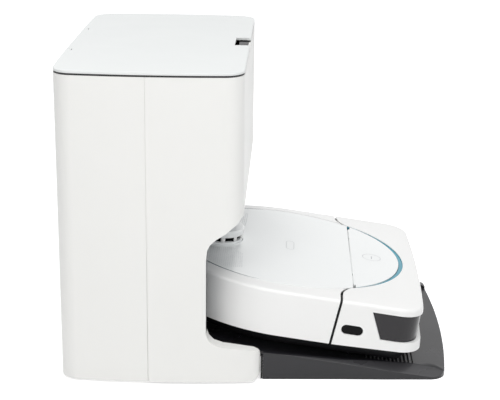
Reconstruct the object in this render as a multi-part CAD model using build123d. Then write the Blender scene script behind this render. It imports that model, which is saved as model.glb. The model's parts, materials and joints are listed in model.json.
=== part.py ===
from build123d import *
import math
import os

os.makedirs("parts", exist_ok=True)

# Shared clearances
running_gap = 0.05
slip_gap = 0.4
seam_gap = 0.6

# Robot outline and skin
half_width = 166.5
rear_centre = 58.2
nose_x = 234.0
nose_bow = 5.0
nose_lean = 5.5
nose_corner = 30.0
brow_fall = 1.6
brow_round = 4.5
rim_low_z = -60.0
rim_rise = 3.5
rim_inset = 22.0
skin = 2.5
bay_gap = 5.0

# Station tower
foot_gap = 10.1
foot_width = 15.4
tower_rear_x = -243.5
tower_front_x = -18.0
tower_side_bow = 6.0
tower_rear_bow = 3.0
tower_corner = 24.0
tower_bottom = 2.8
tower_rim = 382.6
tower_wall = 3.0
tower_floor = 3.0
shell_seam_x = -132.0
lid_thickness = 3.0
lid_lift = 2.4
lid_skin = 1.8
lid_rim = 12.0
deck_thickness = 3.0
deck_drop = 5.0

# Side notch and feet of the front shell
foot_front_x = 4.5
foot_corner = 13.0
bay_mouth_height = 210.0
notch_rise = 48.0
notch_back_x = -61.7
notch_curve = [(-20, 1), (-24, -4.4), (-31, -9.5), (-39, -16), (-50, -23), (-57, -29.5),
               (-60.3, -36.5), (notch_back_x, -50)]
sill_curve = [(notch_back_x, 67), (-59, 59), (-53, 52.7), (-42, 49), (-24, 46.6), (-4.3, 44),
              (1.2, 41.6), (3.7, 38.4), (4.4, 28), (4.5, 13), (2.3, 7.7), (-5, 2.8)]

# Lid hinge and latch
hinge_ear_y = 70.0
hinge_ear_width = 8.0
hinge_ear_radius = 1.4
hinge_neck_inset = 1.0
hinge_neck_depth = 3.4
hinge_neck_gap = 0.8
hinge_pin_radius = 0.7
hinge_pin_reach = 6.0
hinge_pin_end_gap = 0.4
finger_notch_half_width = 25.0
finger_notch_depth = 19.0
latch_half_width = 12.0
latch_front_gap = 4.5
latch_length = 11.0
latch_drop = 2.5
latch_stem_half_width = 4.0
latch_stem_length = 6.0
latch_stem_reach = 10.0
latch_travel = 3.0

# Rear openings, screws and boards
grille_y = (-95.0, -25.0)
grille_z = (30.0, 80.0)
socket_y = (95.0, 125.0)
socket_z = (40.0, 62.0)
screw_radius = 1.5
screw_row_near = 18.5
screw_row_far = 78.5
screw_narrow = 55.0
screw_wide = 150.0
board_x = -172.0

# Docked pose of the robot and the slope it stands on
slope = 7.8
robot_origin_x = -23.4
robot_origin_z = 121.7
wheel_plane = -83.0
ramp_drop = 0.3
bay_rim_plane = -74.0

# Docking ramp and the ceiling of the bay above it
ramp_front_x = 242.8
ramp_corner = 20.0
ramp_side = [(6, 8.9), (59, 6.0), (109, 3.5), (158, 1.5), (232, -2.9)]
ramp_rim = [(-300, 80), (-20, 39.6), (6, 35.8), (28, 33.3), (78, 27.3), (102, 24.4), (140, 21), (188, 16),
            (222, 10.2), (243.3, 3.2)]
ramp_bevel = [(30, 7.9, 33), (225, -3.0, 2.0), (225, -16.5, 10.2)]
well_side = [(-64, 3.9), (20, 3.5), (200, -17.5), (212, -26.5), (300, -26.5)]
ramp_tail_low = 8.0
groove_front_x = 231.5
groove_pitch = 5.05
groove_width = 2.6
groove_count = 13
groove_reach = 138.0
bay_ceiling = [(-22, 0), (-42, 10), (-62, 26), (-84, 36), (-190, 42)]

# Top plate, cover and light
plate_centre_ahead = 16.0
plate_front_inset = 26.8
cover_centre_ahead = 7.5
cover_inset = 23.8
cover_seam_x = 143.0
cover_axis_behind = 3.3
cover_axis_z = -3.0
cover_pin_radius = 1.0
cover_bracket_y = 70.0
cover_bead_reach = 108.0
plate_thickness = 2.5
light_top = -1.5
light_width = 1.8
light_rear_x = 141.0
lip_thickness = 1.1
lip_width = 5.5
button_x = 178.0
button_radius = 8.0
button_rise = 2.5

# Bumper
bumper_travel = 2.0
bumper_gap = 3.2
bumper_seam_x = 129.0
seam_lean = 0.087
backing_thickness = 1.6
backing_reach = 5.0
backing_depth = 25.0
seam_swing = [(10, 42.5), (4, 33.5), (0.6, 24.5), (0, 16.5), (0, -14)]
window_top_z = -10.5
window_low_z = -45.0
window_top_start = 67.0
window_low_start = 52.0
window_recess = 1.2
window_thickness = 2.0
window_gap = 0.3
slot_length = 27.0
slot_height = 12.5
slot_x = 146.0
slot_z = -38.0

# Chassis
chassis_inset = 10.0
chassis_floor_inset = 20.0
chassis_bend_z = -62.0
chassis_wall = 2.5
chassis_low = -76.0
chassis_floor = 3.0
flange_top = -14.0
flange_low = -16.5

# Wheels and brushes
wheel_x = 58.0
wheel_inset = 47.5
wheel_width = 22.0
wheel_radius = 33.0
hub_radius = 24.0
axle_radius = 3.0
arm_pivot_x = 98.0
arm_pivot_z = -50.0
caster_behind = 40.0
caster_trail = 6.0
caster_radius = 10.7
caster_width = 11.0
caster_pin = 2.0
caster_stem = 4.0
caster_top = 17.0
brush_x = 128.0
brush_z = -64.5
brush_radius = 18.0
brush_core = 11.0
brush_end_inset = 80.5
brush_journal = 4.0
brush_clear = 2.5
side_brush_behind = 39.0
side_brush_inset = 66.5
side_brush_reach = 44.0
side_brush_shaft = 3.0

# Inside the robot
inside_floor = -73.0
bin_front_x = -2.0
bin_half_width = 76.0
bin_top = -20.5
robot_fan_at = (34.0, 50.0)
robot_fan_radius = 18.0
robot_fan_shaft = 2.5
mop_front_x = 8.0
mop_top = -76.1
sensor_x = 178.0
sensor_y = 60.0

# Turret
turret_ahead = 68.3
turret_radius = 38.0
turret_low = -18.0
turret_rise = 3.0
turret_gap_height = 6.0
turret_cap_height = 8.5
head_radius = 26.0
spindle_radius = 3.0

# Dust path
port_width = 40.0
port_height = 20.0
port_z = -35.0
duct_x = -180.0
duct_radius = 18.0
duct_wall = 2.5
duct_low = 84.0
chamber_low = 216.0
impeller_low = 172.0
chamber_wall = 2.5
chamber_rear_gap = 19.5
chamber_front_gap = 32.0
chamber_side_gap = 42.0
bag_gap = 10.0
bag_round = 26.0
inlet_radius = 16.0
fan_x = -195.0
fan_y = -75.0
housing_radius = 43.0
housing_low = 95.0
motor_radius = 36.0
shaft_radius = 4.0
contact_y = 45.0
contact_half_width = 9.0
contact_low = -46.0
contact_high = -32.0
signal_half_width = 15.0
signal_low = -3.0
signal_high = 11.0

# Values that follow from those above
nose_side_x = nose_x - nose_bow
plate_centre = rear_centre + plate_centre_ahead
plate_front_radius = half_width - plate_front_inset
cover_centre = rear_centre + cover_centre_ahead
cover_radius = half_width - cover_inset
ramp_plane = wheel_plane - ramp_drop
latch_x = (tower_front_x - latch_front_gap - latch_length + 1, tower_front_x - latch_front_gap + 1)
stem_x = (latch_x[0] + 2.5, latch_x[0] + 2.5 + latch_stem_length)
chamber_floor = chamber_low + chamber_wall
foot_inner_half_width = half_width + foot_gap
tower_end_half_width = foot_inner_half_width + foot_width
tower_mid_half_width = tower_end_half_width + tower_side_bow
bay_radius = half_width + bay_gap
wheel_y = half_width - wheel_inset
turret_x = rear_centre - half_width + turret_ahead
brush_half_length = half_width - brush_end_inset
caster_x = nose_x - caster_behind
side_brush_x = nose_x - side_brush_behind
side_brush_y = half_width - side_brush_inset
cover_axis_x = cover_seam_x + cover_axis_behind
chamber_x = (tower_rear_x + chamber_rear_gap, tower_front_x - chamber_front_gap)
chamber_half_width = tower_end_half_width - chamber_side_gap
far = 600.0
docked = Location((robot_origin_x, 0, robot_origin_z), (0, slope, 0))
lid_low = tower_rim + lid_lift
lid_top = lid_low + lid_thickness
lid_axis_x = tower_rear_x + lid_thickness / 2
lid_axis_z = lid_low + lid_thickness / 2
deck_top = tower_rim - deck_drop
neck_low_x = tower_rear_x + tower_wall + hinge_neck_inset
neck_x = (neck_low_x, neck_low_x + hinge_neck_depth)


def block(xs, ys, zs):
    size = [xs[1] - xs[0], ys[1] - ys[0], zs[1] - zs[0]]
    middle = [(xs[0] + xs[1]) / 2, (ys[0] + ys[1]) / 2, (zs[0] + zs[1]) / 2]
    return Pos(*middle) * Box(*size)


def post(radius, x, y, low, high):
    return Pos(x, y, (low + high) / 2) * Cylinder(radius, high - low)


def cross_rod(radius, x, z, side_a, side_b):
    return Pos(x, (side_a + side_b) / 2, z) * Rot(90, 0, 0) * Cylinder(radius, side_b - side_a)


def prism(face, low, high):
    return extrude(Pos(0, 0, low) * face, high - low)


def side_prism(points, reach):
    face = make_face(Polyline(*points, close=True))
    return extrude(Plane.XZ.offset(-reach) * face, 2 * reach)


def joined(solids):
    whole = solids[0]
    for solid in solids[1:]:
        whole = whole + solid
    return whole


def both_sides(solid):
    return [solid, mirror(solid, Plane.XZ)]


def side_reach(x):
    middle = (tower_rear_x + tower_front_x) / 2
    run = (tower_front_x - tower_rear_x) / 2
    bow = tower_mid_half_width - tower_end_half_width
    bend = (run ** 2 + bow ** 2) / (2 * bow)
    return tower_mid_half_width - bend + math.sqrt(bend ** 2 - (x - middle) ** 2)


def bowed_plan(front_x, corner, inset):
    rear_x = tower_rear_x + tower_rear_bow + inset
    middle = (tower_rear_x + tower_front_x) / 2
    front_edge = front_x - inset
    rear_y = side_reach(rear_x) - inset
    front_y = side_reach(front_edge) - inset
    mid_y = tower_mid_half_width - inset
    edges = [
        ThreePointArc((rear_x, -rear_y), (middle, -mid_y), (front_edge, -front_y)),
        Line((front_edge, -front_y), (front_edge, front_y)),
        ThreePointArc((front_edge, front_y), (middle, mid_y), (rear_x, rear_y)),
        ThreePointArc((rear_x, rear_y), (tower_rear_x + inset, 0), (rear_x, -rear_y)),
    ]
    face = make_face(edges)
    front = [v for v in face.vertices() if v.X > middle]
    face = fillet(front, corner - inset)
    rear = [v for v in face.vertices() if v.X < rear_x + 1]
    return fillet(rear, tower_corner - inset)


def tower_plan(inset):
    return bowed_plan(tower_front_x, tower_corner, inset)


def foot_plan(inset):
    face = bowed_plan(foot_front_x, foot_corner, inset)
    face = face - Rectangle(2 * far, 2 * (foot_inner_half_width + inset))
    return face & Pos(foot_front_x - far, 0) * Rectangle(2 * far + 1, 2 * far)


def notch_profile(inset):
    high = [(x, bay_mouth_height + rise) for x, rise in notch_curve]
    points = [(-far, tower_bottom), (-far, tower_rim), (foot_front_x + far, tower_rim)]
    points = points + [(foot_front_x + far, bay_mouth_height + 1)] + high + sill_curve
    face = make_face(Polyline(*points, close=True))
    if inset:
        face = offset(face, -inset, kind=Kind.INTERSECTION)
    return extrude(Plane.XZ.offset(-far) * face, 2 * far)


def tower_skin():
    outside = prism(tower_plan(0), tower_bottom, tower_rim)
    inside = prism(tower_plan(tower_wall), tower_bottom - 1, tower_rim + 1)
    return outside - inside


def rear_opening(face, ys, zs):
    middle = Pos(tower_rear_x, (ys[0] + ys[1]) / 2, (zs[0] + zs[1]) / 2)
    return middle * Box(4 * tower_wall, ys[1] - ys[0] + 2 * face, zs[1] - zs[0] + 2 * face)


def rear_shell():
    skin_part = tower_skin()
    floor = prism(tower_plan(tower_wall - 1), tower_bottom, tower_bottom + tower_floor)
    body = skin_part + floor
    body = body & block((-far, shell_seam_x - seam_gap / 2), (-far, far), (-far, far))
    body = body - rear_opening(0, grille_y, grille_z) - rear_opening(0, socket_y, socket_z)
    for x, y in screw_places():
        body = body - post(screw_radius + 0.1, x, y, 0, tower_bottom + 2 * tower_floor)
    return body


def screw_places():
    places = []
    for x in (tower_rear_x + screw_row_near, tower_rear_x + screw_row_far):
        for y in (-screw_wide, -screw_narrow, screw_narrow, screw_wide):
            places.append((x, y))
    return places


def front_shell():
    upper = tower_skin() & notch_profile(0)
    upper = upper & block((-far, far), (-far, far), (notch_rise, far))
    bay_side = foot_inner_half_width - 6.6
    upper = upper - block((notch_back_x - 38, far), (-bay_side, bay_side), (0, bay_mouth_height))
    outer = prism(foot_plan(0), tower_bottom, notch_rise + 32) & notch_profile(0)
    outer = outer & block((-far, far), (-far, far), (0, notch_rise + 22))
    outer = outer - block((-far, notch_back_x + 0.2), (-far, far), (notch_rise + 2, notch_rise + 32))
    hollow = prism(foot_plan(tower_wall), -1, notch_rise + 32) & notch_profile(tower_wall)
    hollow = hollow + prism(foot_plan(tower_wall), tower_bottom - 3, tower_bottom + 3.2)
    feet = outer - (hollow & block((-far, far), (-far, far), (0, notch_rise + 12)))
    body = upper + feet
    return body & block((shell_seam_x + seam_gap / 2, far), (-far, far), (-far, far))


def bay_shape(grow):
    circle = Pos(rear_centre, 0, 0) * Cylinder(bay_radius + grow, far)
    tunnel = docked * circle
    mouth = block((notch_back_x - 2.3 - grow, far), (-far, far), (-far, far))
    hall = tunnel + mouth
    ceiling = [(x, bay_mouth_height + grow - fall) for x, fall in bay_ceiling]
    ceiling = [(foot_front_x + 55, 0), (foot_front_x + 55, bay_mouth_height + grow)] + ceiling
    ceiling = ceiling + [(bay_ceiling[-1][0], 0)]
    return hall & side_prism(ceiling, far)


def recess_liner():
    body = bay_shape(tower_wall) - bay_shape(0)
    body = body & prism(tower_plan(tower_wall + slip_gap), 0, far)
    body = body & block((-far, tower_front_x - tower_wall - slip_gap), (-far, far), (0, far))
    body = body - docked * block((-far, far), (-far, far), (-far, bay_rim_plane + slip_gap))
    body = body - docked * port_prism(0, -150, -80)
    window = (-signal_half_width, signal_half_width)
    return body - docked * block((-140, -105), window, (signal_low, signal_high))


def port_prism(grow, start, end):
    face = SlotOverall(port_width + 2 * grow, port_height + 2 * grow)
    plane = Plane(origin=(start, 0, port_z), x_dir=(0, 1, 0), z_dir=(1, 0, 0))
    return extrude(plane * face, end - start)


def ramp_plan(inset):
    side = [(x, half_width + beside) for x, beside in ramp_side]
    upper = [(shell_seam_x + 1, side[0][1])] + side
    lower = [(x, -y) for x, y in reversed(upper)]
    front = ThreePointArc(upper[-1], (ramp_front_x, 0), lower[0])
    face = make_face([Polyline(*upper), front, Polyline(*lower), Line(lower[-1], upper[0])])
    corner = [v for v in face.vertices() if v.X > upper[-1][0] - 1]
    face = fillet(corner, ramp_corner)
    if inset:
        face = offset(face, -inset)
    return face


def ramp_well():
    side = [(x, half_width + beside) for x, beside in well_side]
    edge = side + [(x, -y) for x, y in reversed(side)]
    return prism(make_face(Polyline(*edge, close=True)), -far, far)


def ramp_bevels():
    a, b, c = [Vector(x, half_width + beside, z) for x, beside, z in ramp_bevel]
    slope_face = Plane(origin=a, x_dir=(b - a).normalized(), z_dir=(c - a).cross(b - a).normalized())
    return both_sides(slope_face * Pos(0, 0, 50) * Box(far, far, 100))


def docking_ramp():
    bay = docked * (Pos(rear_centre, 0, 0) * Cylinder(bay_radius + tower_wall, far))
    tail_reach = half_width + 3.5
    tail = bay & block((-far, shell_seam_x + 33), (-tail_reach, tail_reach), (ramp_tail_low, far))
    outside = prism(ramp_plan(0), 0, 80) + (tail & block((-far, 0), (-far, far), (0, 80)))
    outside = outside & side_prism([(-far, 0), (-far, 80)] + ramp_rim + [(far, 2.6), (far, 0)], far)
    outside = outside - docked * block((-far, far), (-far, far), (bay_rim_plane, far))
    for bevel in ramp_bevels():
        outside = outside - bevel
    for slit in both_sides(block((-20, foot_front_x + 2.8), (half_width + 5, far), (-1, 80))):
        outside = outside - slit
    tail_well = docked * (Pos(rear_centre, 0, 0) * Cylinder(bay_radius - 1, far))
    tail_well = tail_well & block((-far, notch_back_x + 1.7), (-far, far), (-far, far))
    well = (tail_well + ramp_well()) & docked * block((-far, far), (-far, far), (ramp_plane, far))
    body = outside - well
    under = tail & block((-140, shell_seam_x + 34), (-half_width + 16.5, half_width - 16.5), (-1, 80))
    hollow = prism(ramp_plan(tower_wall), -1, 80) + under
    hollow = hollow & docked * block((-far, far), (-far, far), (-far, ramp_plane - tower_wall - 2))
    hollow = hollow & block((shell_seam_x - 4, ramp_front_x - 53), (-far, far), (-1, 80))
    body = body - hollow
    for index in range(groove_count):
        middle = groove_front_x - groove_pitch * index
        xs = (middle - groove_width / 2, middle + groove_width / 2)
        body = body - docked * block(xs, (-groove_reach, groove_reach), (ramp_plane - 2, ramp_plane + 1))
    return body


def station_feet():
    pads = []
    for x, y in ((18.5, -170), (18.5, 170), (18.5, 0), (93.5, -165), (93.5, 165)):
        reach = y * tower_end_half_width / 192
        pads.append(post(9, tower_rear_x + x, reach, 0, tower_bottom))
    inner = foot_inner_half_width + tower_wall
    strip = block((-110, -20), (inner, inner + foot_width / 2 - 0.7), (0, tower_bottom + 3.0))
    return pads + both_sides(strip)


def top_deck():
    plate = prism(tower_plan(tower_wall + slip_gap), deck_top - deck_thickness, deck_top)
    plate = plate - block(chamber_x, (-chamber_half_width, chamber_half_width), (0, far))
    slot = latch_stem_half_width + 0.5
    plate = plate - block((stem_x[0] - latch_travel - 1, stem_x[1] + 1), (-slot, slot), (0, far))
    ears = []
    for side in (-hinge_ear_y, hinge_ear_y):
        low = side - hinge_ear_width / 2
        high = side + hinge_ear_width / 2
        ear_z = (lid_axis_z - hinge_ear_radius, lid_axis_z + hinge_ear_radius)
        neck = block(neck_x, (low, high), (deck_top - deck_thickness, ear_z[1]))
        arm = block((lid_axis_x, neck_x[1]), (low, high), ear_z)
        ear = neck + arm + cross_rod(hinge_ear_radius, lid_axis_x, lid_axis_z, low, high)
        ears.append(ear - cross_rod(hinge_pin_radius + running_gap, lid_axis_x, lid_axis_z, low - 1, high + 1))
    return joined([plate] + ears)


def lid_seal():
    ring = prism(tower_plan(0.8), tower_rim, lid_low - 0.1) - prism(tower_plan(5), tower_rim - 1, lid_low)
    for side in (-hinge_ear_y, hinge_ear_y):
        ys = (side - hinge_ear_width / 2 - 1, side + hinge_ear_width / 2 + 1)
        ring = ring - block((-far, lid_axis_x + 9), ys, (0, far))
    notch = (-finger_notch_half_width, finger_notch_half_width)
    return ring - block((tower_front_x - 22, far), notch, (0, far))


def lid_hinge_pins():
    pins = []
    for side in (-hinge_ear_y, hinge_ear_y):
        reach = hinge_ear_width / 2 + slip_gap + hinge_pin_reach
        pins.append(cross_rod(hinge_pin_radius, lid_axis_x, lid_axis_z, side - reach, side + reach))
    return pins


def top_lid():
    slab = prism(tower_plan(0), lid_low, lid_top)
    keep = block((lid_axis_x, far), (-far, far), (0, far))
    bead = cross_rod(lid_thickness / 2, lid_axis_x, lid_axis_z, -far, far) & slab
    body = (slab & keep) + bead
    pocket = prism(tower_plan(lid_rim), lid_low - 1, lid_top - lid_skin)
    pocket = pocket & block((chamber_x[0] + 2, chamber_x[1] + 4), (-far, far), (0, far))
    body = body - pocket
    notch = (-finger_notch_half_width, finger_notch_half_width)
    body = body - block((tower_front_x - finger_notch_depth, far), notch, (0, far))
    for side in (-hinge_ear_y, hinge_ear_y):
        low = side - hinge_ear_width / 2 - slip_gap
        high = side + hinge_ear_width / 2 + slip_gap
        body = body - block((-far, neck_x[1] + hinge_neck_gap), (low, high), (0, far))
        reach = hinge_pin_reach + hinge_pin_end_gap
        bore = hinge_pin_radius + running_gap
        body = body - cross_rod(bore, lid_axis_x, lid_axis_z, low - reach, high + reach)
    return body


def lid_latch():
    low = deck_top + 0.3
    button = block(latch_x, (-latch_half_width, latch_half_width), (low, lid_top - latch_drop))
    stem = block(stem_x, (-latch_stem_half_width, latch_stem_half_width), (deck_top - latch_stem_reach, low))
    return button + stem


def bag_chamber():
    xs = (chamber_x[0] + slip_gap, chamber_x[1] - slip_gap)
    ys = (slip_gap - chamber_half_width, chamber_half_width - slip_gap)
    outside = block(xs, ys, (chamber_low, deck_top))
    lip = block((xs[0] - 6, xs[1] + 6), (ys[0] - 6, ys[1] + 6), (deck_top, deck_top + 2))
    lip = lip & prism(tower_plan(tower_wall + 1), 0, far)
    body = outside + lip
    inside_x = (xs[0] + chamber_wall, xs[1] - chamber_wall)
    inside_y = (ys[0] + chamber_wall, ys[1] - chamber_wall)
    body = body - block(inside_x, inside_y, (chamber_floor, far))
    body = body - post(duct_radius + slip_gap, duct_x, 0, chamber_low - 10, chamber_floor + 10)
    return body - post(inlet_radius, fan_x, fan_y, chamber_low - 10, chamber_floor + 10)


def dust_bag():
    xs = (chamber_x[0] + bag_gap, chamber_x[1] - bag_gap)
    ys = (bag_gap + 2 - chamber_half_width, chamber_half_width - bag_gap - 2)
    bag = block(xs, ys, (chamber_floor + bag_gap - 0.5, deck_top - 2 * bag_gap))
    return fillet(bag.edges(), bag_round)


def bag_collar():
    plate = block((duct_x - 34, duct_x + 34), (-34, 34), (chamber_floor + 0.5, chamber_floor + 3.5))
    neck = post(duct_radius + 6, duct_x, 0, chamber_floor + 3.5, chamber_floor + bag_gap - 1)
    return plate + neck - post(duct_radius + slip_gap, duct_x, 0, 0, far)


def air_duct():
    top = chamber_floor + 5.5
    upright = post(duct_radius, duct_x, 0, duct_low, top)
    wall_x = rear_centre - bay_radius - tower_wall - 0.6
    body = upright + docked * port_prism(2, wall_x - 41.7, wall_x)
    body = body - post(duct_radius - duct_wall, duct_x, 0, duct_low + duct_wall, far)
    body = body - docked * port_prism(0, wall_x - 38.7, wall_x + 16.3)
    body = body - post(duct_radius - duct_wall, duct_x, 0, duct_low + duct_wall, top)
    return body - docked * (Pos(rear_centre, 0, 0) * Cylinder(bay_radius + tower_wall + slip_gap, far))


def port_seal():
    rear = rear_centre - half_width
    ring = port_prism(6, rear - 16.7, rear - 0.6) - port_prism(0.5, rear - 21.7, rear + 28.3)
    inside = Pos(rear_centre, 0, 0) * Cylinder(bay_radius - running_gap, far)
    return docked * (ring & inside)


def ring_slice(outer, inner, ys, zs):
    disc = Pos(rear_centre, 0, 0) * Cylinder(outer, far)
    core = Pos(rear_centre, 0, 0) * Cylinder(inner, far)
    return (disc - core) & block((-far, 0), ys, zs)


def station_contacts():
    outer = bay_radius - running_gap
    pads = []
    for side in (-contact_y, contact_y):
        ys = (side - contact_half_width, side + contact_half_width)
        pads.append(docked * ring_slice(outer, outer - 3.2, ys, (contact_low, contact_high)))
    return pads


def signal_window():
    outer = bay_radius + 2
    ys = (0.3 - signal_half_width, signal_half_width - 0.3)
    return docked * ring_slice(outer, outer - 2, ys, (signal_low + 0.3, signal_high - 0.3))


def motor_housing():
    top = chamber_low - 0.4
    body = post(housing_radius, fan_x, fan_y, housing_low, top)
    body = body - post(housing_radius - 2.5, fan_x, fan_y, housing_low + 3, top - 2.6)
    body = body - post(inlet_radius, fan_x, fan_y, top - 10, far)
    return body - block((fan_x - 24, fan_x + 24), (fan_y - 14, fan_y + 14), (housing_low - 5, housing_low + 4))


def suction_motor():
    base = housing_low + 17
    can = post(motor_radius, fan_x, fan_y, base, impeller_low - 4)
    shaft = post(shaft_radius, fan_x, fan_y, impeller_low - 4, impeller_low + 20)
    legs = []
    for angle in (0, 120, 240):
        dx = 30 * math.cos(math.radians(angle))
        dy = 30 * math.sin(math.radians(angle))
        legs.append(post(4, fan_x + dx, fan_y + dy, housing_low + 3, base))
    return joined([can, shaft] + legs)


def suction_impeller():
    reach = motor_radius - 2
    disc = post(reach, fan_x, fan_y, impeller_low, impeller_low + 2.5)
    hub = post(9, fan_x, fan_y, impeller_low, impeller_low + 18)
    blades = []
    for index in range(9):
        blade = Pos(reach - 13, 0, impeller_low + 9) * Rot(0, 0, 35) * Box(24, 1.6, 13.5)
        blades.append(Pos(fan_x, fan_y, 0) * Rot(0, 0, 40 * index) * blade)
    body = joined([disc, hub] + blades)
    return body - post(shaft_radius + running_gap, fan_x, fan_y, 0, far)


def exhaust_filter():
    return block((fan_x - 39, fan_x + 37), (fan_y - 37, fan_y + 37), (24, housing_low - 0.1))


def exhaust_grille():
    xs = (tower_rear_x + 1.1, tower_rear_x + 4.1)
    ys = (grille_y[0] + 0.3, grille_y[1] - 0.3)
    body = block(xs, ys, (grille_z[0] + 0.3, grille_z[1] - 0.3))
    for index in range(8):
        z = grille_z[0] + 5.5 + 5.6 * index
        body = body - block((-far, 0), (ys[0] + 3.7, ys[1] - 3.7), (z, z + 2.6))
    return body


def power_socket():
    middle = (socket_y[0] + socket_y[1]) / 2
    height = (socket_z[0] + socket_z[1]) / 2
    xs = (tower_rear_x + 1.6, tower_rear_x + 29.5)
    body = block(xs, (socket_y[0] + 0.3, socket_y[1] - 0.3), (socket_z[0] + 0.3, socket_z[1] - 0.3))
    inlet = extrude(Rot(0, 0, 90) * SlotOverall(20, 11), 12, both=True)
    mouth = Pos(tower_rear_x + 11.5, middle, height) * Rot(0, 90, 0) * inlet
    body = body - (mouth & block((-far, tower_rear_x + 17.5), (-far, far), (0, far)))
    pins = []
    for side in (-4.3, 4.3):
        pins.append(Pos(tower_rear_x + 13.5, middle + side, height) * Rot(0, 90, 0) * Cylinder(1.2, 12))
    return joined([body] + pins)


def control_board():
    x = board_x
    side = tower_end_half_width - 92
    board = block((x, x + 2), (side, side + 72), (70, 170))
    chips = []
    for i in range(3):
        chips.append(block((x - 3, x), (side + 10 + 18 * i, side + 22 + 18 * i), (90 + 22 * i, 104 + 22 * i)))
    choke = block((x - 18, x), (side + 25, side + 50), (78, 88))
    legs = []
    for y in (side + 4, side + 63):
        legs.append(block((x - 1, x + 3), (y, y + 5), (tower_bottom + tower_floor, 74)))
    return joined([board, choke] + chips + legs)


def station_screws():
    screws = []
    for x, y in screw_places():
        screws.append(post(screw_radius, x, y, tower_bottom, 16) + post(3, x, y, 1.2, tower_bottom))
    return screws


# The robot is drawn level about the plane of its top plate
def outline(inset, reach=0.0):
    tip = nose_x + reach
    side = nose_side_x + reach
    edges = [
        ThreePointArc((rear_centre, half_width), (rear_centre - half_width, 0), (rear_centre, -half_width)),
        Line((rear_centre, -half_width), (side, -half_width)),
        ThreePointArc((side, -half_width), (tip, 0), (side, half_width)),
        Line((side, half_width), (rear_centre, half_width)),
    ]
    face = make_face(edges)
    face = fillet([v for v in face.vertices() if v.X > side - 1], nose_corner)
    if inset:
        face = offset(face, -inset)
    return face


def body_form(inset):
    low = rim_low_z if inset < skin else rim_low_z - 1
    bend = -brow_fall - inset
    side = loft([Pos(0, 0, low) * outline(inset, nose_lean), Pos(0, 0, bend) * outline(inset)], ruled=True)
    brow = loft([Pos(0, 0, bend) * outline(inset), Pos(0, 0, -inset) * outline(inset + rim_inset)], ruled=True)
    body = side + brow
    edge = body.edges().filter_by_position(Axis.Z, bend - 0.01, bend + 0.01)
    return fillet(edge, brow_round - inset)


def plate_plan(inset):
    rear_radius = half_width - rim_inset
    lean = math.acos((rear_radius - plate_front_radius) / (plate_centre - rear_centre))
    rear_x = rear_centre + rear_radius * math.cos(lean)
    rear_y = rear_radius * math.sin(lean)
    front_x = plate_centre + plate_front_radius * math.cos(lean)
    front_y = plate_front_radius * math.sin(lean)
    edges = [
        ThreePointArc((rear_x, rear_y), (rear_centre - rear_radius, 0), (rear_x, -rear_y)),
        Line((rear_x, -rear_y), (front_x, -front_y)),
        ThreePointArc((front_x, -front_y), (plate_centre + plate_front_radius, 0), (front_x, front_y)),
        Line((front_x, front_y), (rear_x, rear_y)),
    ]
    face = make_face(edges)
    if inset:
        face = offset(face, -inset)
    return face


def cover_disc(inset):
    return Pos(cover_centre, 0) * Circle(cover_radius - inset)


def behind_cover():
    return Pos(cover_seam_x - far - 43, 0) * Rectangle(2 * far, 2 * far)


def inner_plan(inset):
    return plate_plan(inset) & (cover_disc(inset) + behind_cover())


def seam_cutter(shift):
    half = [(bumper_seam_x + ahead, half_width - inward) for ahead, inward in seam_swing]
    other = [(x, -y) for x, y in half]
    points = [(far, half[-1][1]), (far, -half[-1][1])] + other[::-1] + half
    points = [(x + shift, y) for x, y in points]
    face = make_face(Polyline(*points, close=True))
    up = extrude(face, 30, dir=(seam_lean, 0, 1))
    down = extrude(face, 110, dir=(-seam_lean, 0, -1))
    return up + down


def skin_form():
    return body_form(0) - body_form(skin)


def contact_slots():
    slots = []
    for side in (-contact_y, contact_y):
        ys = (side - contact_half_width + 1.6, side + contact_half_width - 1.6)
        slots.append(block((-far, rear_centre - half_width + 28), ys, (contact_low + 1.6, contact_high - 3.6)))
    return slots


def body_shell():
    body = skin_form() - seam_cutter(-bumper_gap)
    body = body - prism(plate_plan(-slip_gap), -20, 20)
    rear = rear_centre - half_width
    body = body - port_prism(0.5, rear - 21.7, rear + 18.3)
    for slot in contact_slots():
        body = body - slot
    return body


def window_zone(grow):
    high = window_top_z + grow
    low = window_low_z - grow
    points = [(nose_x - window_top_start - grow, high), (far, high),
              (far, low), (nose_x - window_low_start - grow, low)]
    return side_prism(points, far)


def rim_wedge():
    tip = nose_x + nose_lean
    low = rim_low_z - 5
    return side_prism([(bumper_seam_x - 10, low), (bumper_seam_x, rim_low_z), (tip, rim_low_z + rim_rise),
                       (tip + 50, rim_low_z + rim_rise), (tip + 50, low)], far)


def bumper():
    body = skin_form() & seam_cutter(0)
    depth = window_recess + window_thickness
    core = prism(outline(depth), -far, 0)
    inner_core = prism(outline(depth + 1.5), -far, 0)
    backing = (body_form(0.5) - inner_core) & block(
        (nose_x - 74, far), (-far, far), (window_low_z - 3, -brow_fall - brow_round - 0.5))
    body = body + backing
    body = body - (window_zone(0) - core) - window_zone(-3)
    body = body - Pos(plate_centre, 0, 0) * Cylinder(plate_front_radius, 60)
    thin = Pos(plate_centre, 0, -11 - lip_thickness) * Cylinder(plate_front_radius + lip_width, 22)
    body = body - thin - rim_wedge()
    face = SlotOverall(slot_length, slot_height)
    return body - Pos(slot_x, 0, slot_z) * Rot(90, 0, 0) * extrude(face, 300, both=True)


def bumper_window():
    depth = window_recess + window_thickness - running_gap
    band = prism(outline(window_recess), -far, 0) - prism(outline(depth), -far, 1)
    return band & window_zone(-window_gap)


def side_windows():
    panes = []
    for side in (-1, 1):
        ys = sorted((side * (half_width - skin), side * (half_width - 1.0)))
        face = SlotOverall(slot_length - 2 * window_gap, slot_height - 2 * window_gap)
        pane = Pos(slot_x, 0, slot_z) * Rot(90, 0, 0) * extrude(face, 300, both=True)
        panes.append(pane & block((0, far), ys, (-far, 0)))
    return panes


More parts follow.
